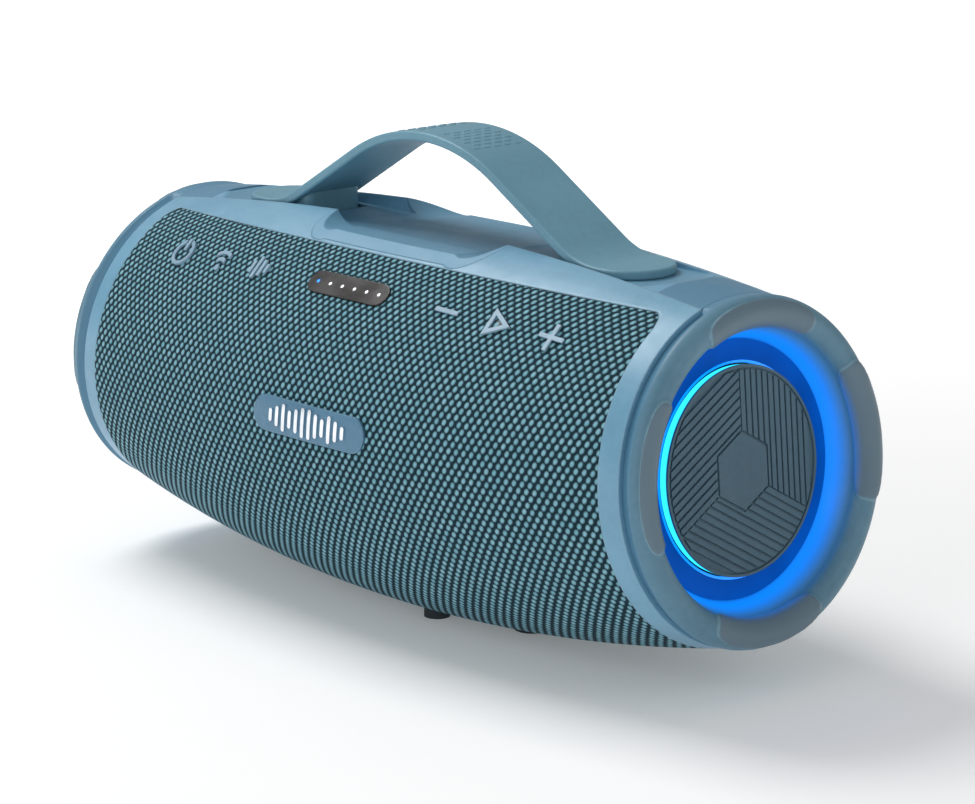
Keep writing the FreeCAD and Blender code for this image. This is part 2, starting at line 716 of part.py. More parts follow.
def board_parts():
    caps = [rod_y(x, 26, 34, z, 4.0) for x, z in ((-40, 18), (-28, 18), (-40, -16))]
    chips = [box(-12, 4, 31.8, 34, -8, 8), box(14, 24, 32.2, 34, 4, 14), box(30, 44, 30, 34, -20, -8)]
    return group(caps + chips)


def port_tray():
    """Back plate with the sockets' holes, and four walls that reach out to the shell."""
    x0, x1, z0, z1 = BAY
    left, right, low, high = x0 - TRAY_T, x1 + TRAY_T, z0 - TRAY_T, z1 + TRAY_T
    floor_y = TRAY_Y + TRAY_T
    plate = box(left, right, TRAY_Y, floor_y, low, high)
    for pocket in port_pockets():
        plate = plate.cut(pocket)
    walls = [box(left, right, floor_y, 80, low, z0), box(left, right, floor_y, 80, z1, high),
             box(left, x0, floor_y, 80, z0, z1), box(x1, right, floor_y, 80, z0, z1)]
    inside = body(SHELL_T + 0.4)
    return group([plate] + [wall.common(inside) for wall in walls])


def port_pockets():
    usb_c_hole = box(-18.5, -9.5, 50, 60, -4.1, -0.9)
    usb_a_hole = box(-5.5, 9.0, 50, 60, -5.8, 0.8)
    return [usb_c_hole, usb_a_hole, rod_y(16, 50, 60, -2.5, 4.0)]


def usb_c():
    shell = box(-18.4, -9.6, 47.0, 55.5, -4.0, -1.0).cut(box(-17.8, -10.2, 48.0, 56, -3.4, -1.6))
    return shell.fuse(box(-17.0, -11.0, 48.0, 54.5, -2.8, -2.2))


def usb_a():
    shell = box(-5.4, 8.9, 43.0, 55.5, -5.7, 0.7).cut(box(-4.8, 8.3, 44.0, 56, -5.1, 0.1))
    return shell.fuse(box(-4.3, 7.8, 44.0, 54.0, -1.6, 0.0))


def aux_jack():
    return rod_y(16, 41.5, 55.5, -2.5, 3.9).cut(rod_y(16, 41.0, 56.0, -2.5, 1.75))


HINGE = (67.4, -10.8)  # y and z of the port cover's hinge


def port_cover():
    """Curved flap flush with the cloth, with a pull tab and two knuckles at its lower edge."""
    zone = box(BAY[0] + 0.4, BAY[1] - 0.4, 30, 90, HINGE[1] + 2.0, BAY[3] - 0.4)
    skin = body(0).cut(body(2.0)).common(zone)
    arms = []
    for x in (-17.0, 9.0):
        knuckle = rod_x(x, x + 8, HINGE[0], HINGE[1], 1.7)
        web = box(x, x + 8, HINGE[0] - 1.4, HINGE[0] - 0.1, HINGE[1], HINGE[1] + 3.2)
        arms.append(knuckle.fuse(web))
    skin = skin.multiFuse(arms)
    return skin.cut(rod_x(-30, 30, HINGE[0], HINGE[1], 0.9)).removeSplitter()


def hinge_pin():
    return rod_x(-21.0, 21.0, HINGE[0], HINGE[1], 0.84)


def hinge_lugs():
    """Lugs on the tray that carry the pin's ends and middle."""
    lugs = []
    for x0, x1 in ((-23.4, -17.4), (-8.6, 8.6), (17.4, 23.4)):
        lug = rod_x(x0, x1, HINGE[0], HINGE[1], 1.7)
        lug = lug.fuse(box(x0, x1, 55.5, HINGE[0], HINGE[1] - 1.7, HINGE[1]))
        lugs.append(lug.cut(rod_x(-30, 30, HINGE[0], HINGE[1], 0.84)))
    return group(lugs)


# Outside trim

def badge(lo, hi):
    stadium = box(-BADGE_HALF, BADGE_HALF, -90, 0, -BADGE_R, BADGE_R)
    stadium = stadium.multiFuse([rod_y(x, -90, 0, 0, BADGE_R) for x in (-BADGE_HALF, BADGE_HALF)])
    stadium.translate(V(BADGE[0], 0, BADGE[1]))
    return stadium.removeSplitter().common(body(lo, -40, 40, 5).cut(body(hi, -40, 40, 5)))


def badge_bars():
    heights = (1.4, 2.6, 3.8, 2.2, 3.2, 4.2, 4.2, 3.2, 2.2, 3.8, 2.6, 1.4)
    skin = body(-1.5, -40, 40, 5).cut(body(-0.9, -40, 40, 5))
    bars = []
    for i, h in enumerate(heights):
        x = BADGE[0] + (i - 5.5) * 3.3
        capsule = box(x - 0.8, x + 0.8, -90, 0, BADGE[1] - h, BADGE[1] + h)
        capsule = capsule.multiFuse([rod_y(x, -90, 0, BADGE[1] + h * k, 0.8) for k in (-1, 1)])
        bars.append(capsule.removeSplitter().common(skin))
    return group([s for b in bars for s in b.Solids])


def feet():
    pads = []
    for x, y, r in ((-38, 0, 6), (38, 0, 6), (5, -13.5, 4.5), (5, 13.5, 4.5)):
        pad = Part.makeCylinder(r, 14, V(x, y, -AXIS_Z))
        pads.append(pad.cut(body(0)))
    return group(pads)


def screws():
    """Four screws through each driver's flange into the baffle."""
    heads = []
    for side in (-1, 1):
        for k in range(4):
            t = math.radians(45 + 90 * k)
            x = side * DRIVER_X + SCREW_R * math.cos(t)
            z = DRIVER_Z + SCREW_R * math.sin(t)
            head = rod_y(x, BAFFLE_Y + 2.5, BAFFLE_Y + 4.3, z, 1.6)
            heads.append(head.fuse(rod_y(x, BAFFLE_Y - 2.0, BAFFLE_Y + 2.5, z, 0.9)))
    return group(heads)


def export(name, shape):
    shape = shape.copy()
    shape.translate(V(0, 0, AXIS_Z))
    bad = [s for s in shape.Solids if not s.isValid()]
    print(name, len(shape.Solids), round(shape.Volume, 1), "INVALID" if bad or not shape.Solids else "ok")
    Part.makeCompound(shape.Solids).exportStep("parts/" + name + ".step")


def main():
    os.makedirs("parts", exist_ok=True)
    export("housing", housing())
    export("saddle", saddle())
    export("grille_cloth", cloth())
    export("grille_shell", grille())
    export("strap_handle", strap())
    for s, name in zip(BUTTON_S, BUTTON_NAMES):
        export("button_" + name, button(s))
    export("indicator_window", indicator_window())
    export("indicator_leds", led_pins(1, 6))
    export("status_led", led_pins(0, 1))
    export("window_carrier", cover_strip())
    export("button_board", button_board())
    export("button_switches", switches())
    ends = {"bumper": bumper_right(), "end_plate": end_plate(), "light_guide": light_guide(),
            "led_board": led_board(), "radiator_frame": radiator_frame(),
            "radiator_surround": radiator_surround(), "radiator_disc": radiator_face(),
            "radiator_weight": radiator_weight()}
    for name, shape in ends.items():
        export(name + "_right", shape)
        export(name + "_left", mirror_x(shape))
    export("strap_pins", group([strap_pin(-1), strap_pin(1)]))
    export("strap_anchors", group([anchor(-1), anchor(1)]))
    for side, word in ((-1, "left"), (1, "right")):
        export("driver_basket_" + word, driver_basket(side))
        export("driver_magnet_" + word, driver_magnet(side))
        export("driver_cone_" + word, driver_cone(side))
        export("driver_surround_" + word, driver_surround(side))
        export("dust_cap_" + word, dust_cap(side))
    export("driver_baffle", baffle())
    export("driver_screws", screws())
    export("battery_cells", battery_cells())
    export("battery_holder", battery_holder())
    export("main_board", main_board())
    export("board_parts", board_parts())
    export("port_tray", group([port_tray()] + hinge_lugs().Solids))
    export("usb_c_port", usb_c())
    export("usb_a_port", usb_a())
    export("aux_jack", aux_jack())
    export("port_cover", port_cover())
    export("port_hinge_pin", hinge_pin())
    export("badge_plate", badge(-0.9, 0.0))
    export("badge_bars", badge_bars())
    export("rubber_feet", feet())


main()
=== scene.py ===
import json
import math

import bmesh
import bpy
from mathutils import Matrix, Vector


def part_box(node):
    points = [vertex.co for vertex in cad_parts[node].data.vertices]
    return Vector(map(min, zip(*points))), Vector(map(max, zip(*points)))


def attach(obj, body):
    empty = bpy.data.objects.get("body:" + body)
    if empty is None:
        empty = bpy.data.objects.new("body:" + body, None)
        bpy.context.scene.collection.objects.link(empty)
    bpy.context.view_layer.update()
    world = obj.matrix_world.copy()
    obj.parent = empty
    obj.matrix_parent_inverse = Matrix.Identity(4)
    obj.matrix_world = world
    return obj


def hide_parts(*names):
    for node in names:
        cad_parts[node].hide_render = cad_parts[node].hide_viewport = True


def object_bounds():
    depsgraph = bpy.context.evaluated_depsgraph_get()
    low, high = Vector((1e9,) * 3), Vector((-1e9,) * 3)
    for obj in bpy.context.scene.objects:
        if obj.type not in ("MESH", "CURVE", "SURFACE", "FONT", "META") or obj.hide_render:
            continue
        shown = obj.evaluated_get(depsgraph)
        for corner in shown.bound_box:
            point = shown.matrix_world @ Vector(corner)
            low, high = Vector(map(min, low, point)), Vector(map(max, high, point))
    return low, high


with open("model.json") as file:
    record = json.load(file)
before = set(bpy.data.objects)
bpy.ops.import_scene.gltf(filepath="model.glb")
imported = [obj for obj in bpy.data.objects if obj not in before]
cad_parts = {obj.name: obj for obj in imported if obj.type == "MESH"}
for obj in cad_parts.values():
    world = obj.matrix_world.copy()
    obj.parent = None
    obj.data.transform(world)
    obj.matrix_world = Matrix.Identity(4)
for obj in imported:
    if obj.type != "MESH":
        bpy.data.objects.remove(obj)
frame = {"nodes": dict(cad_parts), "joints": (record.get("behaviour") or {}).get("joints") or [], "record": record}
cad_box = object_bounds()

MM = 0.001

# The barrel's outer surface, as its CAD source draws it
AXIS_Z = 74.6 * MM          # height of its axis level
R_MID = 68.1 * MM           # radius at the middle
R_DROP = 14.45 * MM         # fall of the radius by the half length
HALF = 150.0 * MM           # half length that the curves are drawn over
SAG = 4.9 * MM              # how far the middle of the centreline hangs below its ends
LEAN = 0.10                 # slope of the end planes at the half length

# Weave of the grille cloth: nubs in rows, every second row half a pitch along
NUB_PITCH = 3.24 * MM       # along the barrel
ROW_PITCH = 2.18 * MM       # round the barrel
NUB_LONG = 1.42 * MM        # half length of a nub
NUB_SHORT = 1.06 * MM       # its half width
NUB_SLANT = 56.0            # its angle to the barrel's length, degrees

# Ends, in the frame of each end: out along its axis, radius about it, in mm where MM isn't given
GUIDE_OUT = -5.9 * MM       # middle of the light guide
WALL = ((-6.0, 41.6), (3.2, 46.4))                    # recess wall, foot and lip
CREST = ((3.2, 46.4), (8.7, 51.35), (4.2, 56.28))     # arc over the bumper's crest
VALLEY = ((4.2, 56.28), (2.5, 55.1), (1.6, 54.7))     # arc down to the valley beside the housing
VALLEY_END = (0.1, 54.7)
VALLEY_TUCK = 1.2           # how far the skin's edge tucks in below the housing
WALL_STEPS = 6              # steps of the ring's mesh over each part of its section
CREST_STEPS = 44
VALLEY_STEPS = 6
RING_STEPS = 320            # and round the ring
TONGUE_R = 56.2             # radius of the bumper's tongue where it meets the ring
TONGUE_HALF = 16.2          # its half width
TONGUE_SOFT = 2.0           # width of the slope at its sides
TONGUE_START = 0.3          # where the CAD tongue is cut off and the ring's skin takes over
SPIGOT_R = 50.0             # the bumper's hidden inner part stays within this radius
TONGUE_LOW = 40.0           # and the tongue stays this high above the end's centre
PADS = (8.0, 92.0, 172.0, 272.0)                      # middles of the crest's pads, degrees from the front up
PAD_HALF = 28.0             # half length of a pad, degrees
PAD_MIDDLE = 0.4            # middle of a pad's width, as a share of the crest's arc
PAD_WIDTH = 0.37            # half its width, as a share of the arc
PAD_RISE = 0.9              # how far a pad stands proud
PAD_SLOPE = 0.22            # share of a pad that its sloping edge takes
DISC_R = 33.8 * MM          # radiator disc

# Grip dashes over the strap's crown
CROWN_R = 70.0 * MM         # radius of the crown
DASH_RISE = 0.18 * MM
DASH_HALF_WIDTH = 0.55 * MM
DASH_HALF_LENGTH = 1.5 * MM
DASH_PITCH = 4.6 * MM       # across the strap
DASH_SIDE = 9.5 * MM        # no dash stands further from the strap's middle
DASH_ROWS = 7               # on each side of the crown's top
FIRST_ROW = 5.0             # angle of the first row from the top, degrees
ROW_STEP = 2.1
DASH_CORNERS = 16

# Camera
AZIMUTH = 47.46
ELEVATION = 13.39
ROLL = 0.16
DISTANCE = 1.2716
TARGET = Vector((0.01544, 0.0, 0.00016 + AXIS_Z))
LENS = 139.0
SENSOR = 36.0


def tint(red, green, blue):
    """Linear colour of an sRGB one given as 0 to 255."""
    linear = [((c / 255 + 0.055) / 1.055) ** 2.4 if c > 10 else c / 255 / 12.92 for c in (red, green, blue)]
    return (*linear, 1.0)


class Graph:
    """A material and its node tree, with short calls for the nodes used here."""

    def __init__(self, name):
        self.material = bpy.data.materials.new(name)
        self.material.use_nodes = True
        self.tree = self.material.node_tree
        self.shader = self.tree.nodes["Principled BSDF"]
        self.place = self.tree.nodes.new("ShaderNodeTexCoord").outputs["Object"]

    def feed(self, socket, value):
        if isinstance(value, bpy.types.NodeSocket):
            self.tree.links.new(value, socket)
        else:
            socket.default_value = value

    def set(self, **values):
        for name, value in values.items():
            self.feed(self.shader.inputs[name.replace("_", " ")], value)

    def math(self, operation, a, b=0.0):
        node = self.tree.nodes.new("ShaderNodeMath")
        node.operation = operation
        self.feed(node.inputs[0], a)
        self.feed(node.inputs[1], b)
        return node.outputs[0]

    def vector(self, operation, a, b=(0.0, 0.0, 0.0), output=0):
        node = self.tree.nodes.new("ShaderNodeVectorMath")
        node.operation = operation
        self.feed(node.inputs[0], a)
        self.feed(node.inputs[1], b)
        return node.outputs[output]

    def scaled(self, vector, factor):
        node = self.tree.nodes.new("ShaderNodeVectorMath")
        node.operation = "SCALE"
        self.feed(node.inputs[0], vector)
        self.feed(node.inputs["Scale"], factor)
        return node.outputs[0]

    def split(self, vector):
        node = self.tree.nodes.new("ShaderNodeSeparateXYZ")
        self.feed(node.inputs[0], vector)
        return node.outputs

    def noise(self, size, detail=2.0):
        """Noise from 0 to 1 whose features are about size across."""
        node = self.tree.nodes.new("ShaderNodeTexNoise")
        self.feed(node.inputs["Vector"], self.place)
        node.inputs["Scale"].default_value = 1.0 / size
        node.inputs["Detail"].default_value = detail
        return node.outputs["Fac"]

    def cells(self, size):
        """Distance to the nearest of scattered points, for a moulded grain."""
        node = self.tree.nodes.new("ShaderNodeTexVoronoi")
        self.feed(node.inputs["Vector"], self.place)
        node.inputs["Scale"].default_value = 1.0 / size
        return node.outputs["Distance"]

    def span(self, value, low, high, start=0.0, end=1.0):
        """Smooth step from start to end as value goes from low to high."""
        node = self.tree.nodes.new("ShaderNodeMapRange")
        node.interpolation_type = "SMOOTHSTEP"
        self.feed(node.inputs["Value"], value)
        node.inputs["From Min"].default_value = low
        node.inputs["From Max"].default_value = high
        node.inputs["To Min"].default_value = start
        node.inputs["To Max"].default_value = end
        return node.outputs["Result"]

    def mix(self, factor, a, b):
        node = self.tree.nodes.new("ShaderNodeMix")
        node.data_type = "RGBA"
        self.feed(node.inputs["Factor"], factor)
        self.feed(node.inputs[6], a)
        self.feed(node.inputs[7], b)
        return node.outputs[2]

    def stored(self, name):
        """A number that the mesh carries on its vertices."""
        node = self.tree.nodes.new("ShaderNodeAttribute")
        node.attribute_name = name
        return node.outputs["Fac"]

    def bevel(self, radius):
        node = self.tree.nodes.new("ShaderNodeBevel")
        node.samples = 4
        node.inputs["Radius"].default_value = radius
        return node.outputs["Normal"]

    def edges(self, radius):
        """1 near an outer or inner edge, 0 on smooth faces."""
        true_normal = self.tree.nodes.new("ShaderNodeNewGeometry").outputs["Normal"]
        same = self.vector("DOT_PRODUCT", self.bevel(radius), true_normal, "Value")
        return self.span(same, 0.995, 0.8, 0.0, 1.0)

    def bump(self, height, depth, normal=None):
        node = self.tree.nodes.new("ShaderNodeBump")
        node.inputs["Distance"].default_value = depth
        node.inputs["Strength"].default_value = 1.0
        self.feed(node.inputs["Height"], height)
        if normal is not None:
            self.feed(node.inputs["Normal"], normal)
        return node.outputs["Normal"]


def barrel_place(g):
    """Station along the barrel, angle above the horizontal at the front, height over the outer surface."""
    x, y, z = g.split(g.place)
    share = g.math("DIVIDE", x, HALF)
    centre = g.math("MULTIPLY_ADD", g.math("MULTIPLY", share, share), SAG)
    centre.node.inputs[2].default_value = AXIS_Z - SAG
    up = g.math("SUBTRACT", z, centre)
    lean = g.math("SUBTRACT", 1.0, g.math("MULTIPLY", up, LEAN / HALF))
    s = g.math("DIVIDE", x, lean)
    share = g.math("DIVIDE", s, HALF)
    radius = g.math("MULTIPLY_ADD", g.math("MULTIPLY", share, share), -R_DROP)
    radius.node.inputs[2].default_value = R_MID
    far = g.math("SQRT", g.math("ADD", g.math("MULTIPLY", y, y), g.math("MULTIPLY", up, up)))
    angle = g.math("ARCTAN2", up, g.math("MULTIPLY", y, -1.0))
    return s, angle, radius, g.math("SUBTRACT", far, radius)


def weave(g):
    """Height of the cloth's slanted nubs, from 0 in the gaps to 1 on their tops, and a tone for each nub."""
    s, angle, radius, _ = barrel_place(g)
    row = g.math("DIVIDE", g.math("MULTIPLY", angle, radius), ROW_PITCH)
    index = g.math("FLOOR", row)
    odd = g.math("MULTIPLY", g.math("MODULO", g.math("ADD", index, 1000.0), 2.0), 0.5)
    column = g.math("ADD", g.math("DIVIDE", s, NUB_PITCH), odd)
    heights = []
    for shift_row, shift_column in ((-1, -0.5), (0, 0.0), (1, -0.5)):
        across = g.math("SUBTRACT", g.math("SUBTRACT", g.math("FRACT", column), 0.5), shift_column)
        across = g.math("WRAP", across, 0.5)
        across.node.inputs[2].default_value = -0.5
        along = g.math("SUBTRACT", g.math("SUBTRACT", g.math("FRACT", row), 0.5), float(shift_row))
        heights.append(nub(g, across, along))
    height = heights[0]
    for other in heights[1:]:
        height = g.math("MAXIMUM", height, other)
    cell = g.tree.nodes.new("ShaderNodeTexWhiteNoise")
    cell.noise_dimensions = "2D"
    join = g.tree.nodes.new("ShaderNodeCombineXYZ")
    g.feed(join.inputs[0], g.math("FLOOR", column))
    g.feed(join.inputs[1], index)
    g.feed(cell.inputs["Vector"], join.outputs[0])
    return height, cell.outputs["Value"]


def nub(g, across, along):
    """Height of one nub, a rounded bar turned by NUB_SLANT."""
    u = g.math("MULTIPLY", across, NUB_PITCH)
    v = g.math("MULTIPLY", along, ROW_PITCH)
    cos = math.cos(math.radians(NUB_SLANT))
    sin = math.sin(math.radians(NUB_SLANT))
    p = g.math("ADD", g.math("MULTIPLY", u, cos / NUB_LONG), g.math("MULTIPLY", v, sin / NUB_LONG))
    q = g.math("SUBTRACT", g.math("MULTIPLY", v, cos / NUB_SHORT), g.math("MULTIPLY", u, sin / NUB_SHORT))
    far = g.math("ADD", g.math("MULTIPLY", p, p), g.math("MULTIPLY", q, q))
    return g.math("MAXIMUM", g.math("SUBTRACT", 1.0, far), 0.0)


def cloth_colour(g):
    height, tone = weave(g)
    thread = g.mix(g.math("MULTIPLY", tone, 0.6), tint(156, 212, 230), tint(110, 178, 198))
    strand = g.noise(0.35 * MM, 3.0)
    thread = g.mix(g.math("MULTIPLY", strand, 0.5), thread, tint(60, 118, 134))
    # Colour by nub height: the dark gaps are partly the cloth's own dark gaps and partly painted shade, and the
    # darkening down each nub's sides is painted shade.
    return g.mix(g.span(height, 0.0, 0.92), tint(6, 44, 56), thread), height, strand


def cloth_material():
    g = Graph("grille_cloth_weave")
    colour, height, strand = cloth_colour(g)
    relief = g.math("ADD", height, g.math("MULTIPLY", strand, 0.15))
    g.set(Base_Color=colour, Roughness=g.span(height, 0.0, 1.0, 0.9, 0.5),
          Specular_IOR_Level=0.3, Normal=g.bump(relief, 0.85 * MM))
    return g.material


def moulded(name, dark, light, roughness, grain=0.5, depth=0.02, edge=None, edge_radius=0.6, metallic=0.0,
            coat=0.0):
    """Moulded plastic, rubber or metal: cloudy colour, grain, painted light along the edges (a highlight where the
    edge colour is lighter, shade where it is darker), and softened corners.
    """
    g = Graph(name)
    wide = g.math("MULTIPLY", g.noise(35 * MM, 3.0), 0.7)
    cloud = g.math("ADD", wide, g.math("MULTIPLY", g.noise(2.5 * MM), 0.3))
    colour = g.mix(g.span(cloud, 0.3, 0.7), tint(*dark), tint(*light))
    if edge is not None:
        # Painted light: near the edges the colour turns, in patches, to the edge colour, as a highlight, or as
        # shade where that colour is darker.
        patches = g.span(g.noise(6 * MM, 4.0), 0.3, 0.7, 0.45, 0.9)
        painted_edge_light = g.math("MULTIPLY", g.edges(edge_radius * MM), patches)
        colour = g.mix(painted_edge_light, colour, tint(*edge))
    relief = g.math("ADD", g.cells(grain * MM), g.math("MULTIPLY", g.noise(grain * 0.6 * MM, 3.0), 0.6))
    spread = g.span(g.noise(9 * MM, 4.0), 0.25, 0.75, roughness - 0.06, roughness + 0.06)
    normal = g.bevel(edge_radius * MM) if edge is not None else None
    g.set(Base_Color=colour, Roughness=spread, Metallic=metallic, Coat_Weight=coat,
          Normal=g.bump(relief, depth * MM, normal))
    return g


def end_axis(side):
    """Centre of the light guide's ring and the direction out of that end."""
    low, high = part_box(f"light_guide_{side}")
    joint = next(j for j in frame["joints"] if j["child"] == f"radiator_{side}")
    return (low + high) / 2, Vector(joint["axis"]).normalized()


def end_place(g, side):
    """Distance out along the end's axis from the light guide, and radius about that axis."""
    centre, axis = end_axis(side)
    from_centre = g.vector("SUBTRACT", g.place, tuple(centre))
    out = g.vector("DOT_PRODUCT", from_centre, tuple(axis), "Value")
    across = g.vector("SUBTRACT", from_centre, g.scaled(tuple(axis), out))
    return out, g.vector("LENGTH", across, output="Value")


def bumper_material(side):
    """Grey-blue rubber, bluer beside the housing; the LED ring's blue light is painted on its inner wall as a glow
    that fades out towards its crest, and each pad's rim has a painted highlight.
    """
    g = moulded(f"bumper_rubber_{side}", (83, 123, 144), (96, 137, 157), 0.44, grain=0.45, depth=0.02,
                edge=(128, 156, 170), edge_radius=0.8)
    out, radius = end_place(g, side)
    # Painted light: the LED ring's blue glow on the inner wall, as deep blue colour and emission, fading out
    # towards the crest.
    lit = g.math("MULTIPLY", g.span(radius, 43.0 * MM, 46.9 * MM, 1.0, 0.0), g.span(out, -2 * MM, 2 * MM))
    base = g.shader.inputs["Base Color"].links[0].from_socket
    beside = g.span(out, 8.0 * MM, 13.0 * MM, 1.0, 0.0)
    base = g.mix(g.math("MULTIPLY", beside, 0.85), base, tint(84, 134, 164))
    pad = g.stored("pad")
    base = g.mix(g.span(pad, 0.55, 0.95), base, tint(97, 120, 134))
    # Painted highlight: a lighter band round the edge of each pad.
    pad_rim_highlight = g.math("MULTIPLY", g.span(pad, 0.05, 0.4), g.span(pad, 0.5, 0.85, 1.0, 0.0))
    base = g.mix(g.math("MULTIPLY", pad_rim_highlight, 0.55), base, tint(128, 160, 174))
    g.set(Base_Color=g.mix(lit, base, tint(0, 40, 110)), Specular_IOR_Level=0.4,
          Emission_Color=tint(8, 134, 255), Emission_Strength=g.math("MULTIPLY", lit, 0.95))
    return g.material


def recess_material(side):
    """Floor of the lit recess: deep blue, with the light guide's blue light painted on it as a glow that grows
    outwards and is a little uneven.
    """
    g = moulded(f"recess_floor_{side}", (0, 6, 30), (0, 10, 40), 0.5, 0.5, 0.015)
    out, radius = end_place(g, side)
    # Painted light: the light guide's blue glow on the floor, as emission.
    lit = g.math("MULTIPLY", g.span(radius, 33 * MM, 42 * MM, 0.75, 0.95), g.span(out, -2 * MM, 0.0))
    cloud = g.span(g.noise(22 * MM), 0.3, 0.7, 0.85, 1.05)
    g.set(Specular_IOR_Level=0.05, Emission_Color=tint(0, 80, 184),
          Emission_Strength=g.math("MULTIPLY", lit, cloud))
    return g.material


def disc_material(side):
    """Grey rubber face; the light guide's cyan light falls on the disc's side wall."""
    g = moulded(f"radiator_rubber_{side}", (62, 92, 109), (73, 104, 120), 0.55, grain=0.4, depth=0.015,
                edge=(98, 124, 136), edge_radius=0.25)
    out, radius = end_place(g, side)
    lit = g.math("MULTIPLY", g.span(out, 3.7 * MM, 4.2 * MM, 1.0, 0.0),
                 g.span(radius, DISC_R - 0.9 * MM, DISC_R - 0.5 * MM))
    g.set(Emission_Color=tint(50, 228, 255), Emission_Strength=g.math("MULTIPLY", lit, 1.3))
    return g.material


def saddle_material(name):
    """Rubber saddle; its rim, flush with the barrel, has the housing's colour."""
    g = moulded(name, (92, 139, 166), (104, 152, 178), 0.5, 0.5, 0.02, (128, 168, 190), 0.6)
    height = barrel_place(g)[3]
    base = g.shader.inputs["Base Color"].links[0].from_socket
    flush = g.span(height, -0.45 * MM, -0.2 * MM)
    g.set(Base_Color=g.mix(flush, base, tint(108, 158, 186)))
    return g.material


def icon_material(name):
    """Raised rubber icon; what lies level with the cloth has the cloth's own weave."""
    g = moulded(name, (128, 160, 182), (150, 182, 202), 0.42, 0.35, 0.01, (190, 212, 226), 0.25)
    cloth, _, _ = cloth_colour(g)
    height = barrel_place(g)[3]
    base = g.shader.inputs["Base Color"].links[0].from_socket
    g.set(Base_Color=g.mix(g.span(height, 0.12 * MM, 0.3 * MM), cloth, base))
    return g.material


def glowing(name, colour, strength):
    g = moulded(name, colour, colour, 0.25, 0.4, 0.005)
    cloud = g.span(g.noise(4 * MM), 0.2, 0.8, strength * 0.9, strength)
    g.set(Emission_Color=tint(*colour), Emission_Strength=cloud)
    return g.material


def slot_materials():
    """One finish for each material slot of the record; the lit ones are made by side or on their own."""
    # The edge colours below are painted light along each part's edges: lighter highlights, and darker shade on the
    # window.
    plain = {
        "housing_plastic": dict(dark=(106, 156, 184), light=(118, 168, 195), roughness=0.36, grain=0.55,
                                depth=0.018, edge=(165, 203, 224), edge_radius=0.9),
        "strap_rubber": dict(dark=(96, 143, 162), light=(106, 154, 173), roughness=0.47, grain=0.45,
                             depth=0.02, edge=(150, 190, 206), edge_radius=0.5),
        "inner_plastic": dict(dark=(24, 28, 32), light=(34, 38, 43), roughness=0.55),
        "window_gloss": dict(dark=(38, 36, 36), light=(50, 47, 46), roughness=0.2, depth=0.004,
                             edge=(28, 26, 28), edge_radius=0.5, coat=0.3),
        "board_green": dict(dark=(14, 74, 44), light=(20, 92, 56), roughness=0.4, depth=0.01),
        "component_black": dict(dark=(22, 22, 24), light=(36, 36, 38), roughness=0.45),
        "radiator_rubber": dict(dark=(62, 92, 109), light=(73, 104, 120), roughness=0.55, grain=0.4,
                                depth=0.015),
        "weight_steel": dict(dark=(150, 152, 156), light=(186, 188, 192), roughness=0.32, metallic=1.0),
        "magnet": dict(dark=(38, 39, 42), light=(56, 57, 60), roughness=0.6),
        "cone_paper": dict(dark=(22, 22, 23), light=(38, 38, 39), roughness=0.8, grain=0.9, depth=0.06),
        "cell_wrap": dict(dark=(26, 84, 158), light=(34, 98, 178), roughness=0.35, depth=0.008),
        "port_metal": dict(dark=(172, 175, 180), light=(204, 207, 212), roughness=0.22, metallic=1.0,
                           depth=0.004),
        "jack_plastic": dict(dark=(18, 18, 19), light=(28, 28, 30), roughness=0.4),
        "cover_rubber": dict(dark=(88, 116, 132), light=(100, 129, 145), roughness=0.55, depth=0.02,
                             edge=(128, 156, 170), edge_radius=0.5),
        "badge_base": dict(dark=(70, 120, 150), light=(80, 132, 162), roughness=0.3, depth=0.006,
                           edge=(140, 182, 205), edge_radius=0.6, coat=0.2),
        "badge_chrome": dict(dark=(214, 219, 226), light=(236, 240, 244), roughness=0.16, depth=0.003,
                             metallic=1.0),
        "foot_rubber": dict(dark=(34, 42, 48), light=(46, 55, 62), roughness=0.7, grain=0.6, depth=0.04),
    }
    made = {slot: moulded(slot, **values).material for slot, values in plain.items()}
    made["button_rubber"] = icon_material("button_rubber")
    made["saddle_rubber"] = saddle_material("saddle_rubber")
    made["grille_cloth"] = cloth_material()
    made["led_white"] = glowing("led_white", (235, 240, 244), 0.9)
    made["led_blue"] = glowing("led_blue", (40, 130, 255), 1.6)
    made["light_guide"] = glowing("light_guide", (0, 128, 240), 0.9)
    return made


def dress(materials):
    """Gives each CAD node the finish of its slot, and the end parts their own side's glow."""
    slots = {row["node"]: row["material_slot"] for row in frame["record"]["subparts"]}
    for name, node in frame["nodes"].items():
        node.data.materials.clear()
        node.data.materials.append(materials[slots[name]])
    for side in ("right", "left"):
        frame["nodes"][f"end_plate_{side}"].data.materials[0] = recess_material(side)
        frame["nodes"][f"radiator_disc_{side}"].data.materials[0] = disc_material(side)


def mesh_of(built, name):
    """The mesh of a finished bmesh, which is freed."""
    mesh = bpy.data.meshes.new(name)
    built.to_mesh(mesh)
    built.free()
    return mesh


def piece(name, mesh, material):
    """An object of this mesh, in this one material, in the scene."""
    mesh.name = name
    mesh.materials.clear()
    mesh.materials.append(material)
    made = bpy.data.objects.new(name, mesh)
    bpy.context.scene.collection.objects.link(made)
    return made


def grille_sheet(material):
    """The stretched cloth, on the shape that its CAD solid holds."""
    sheet = piece("grille_weave", frame["nodes"]["grille_cloth"].data.copy(), material)
    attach(sheet, "root")
    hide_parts("grille_cloth")
    return sheet


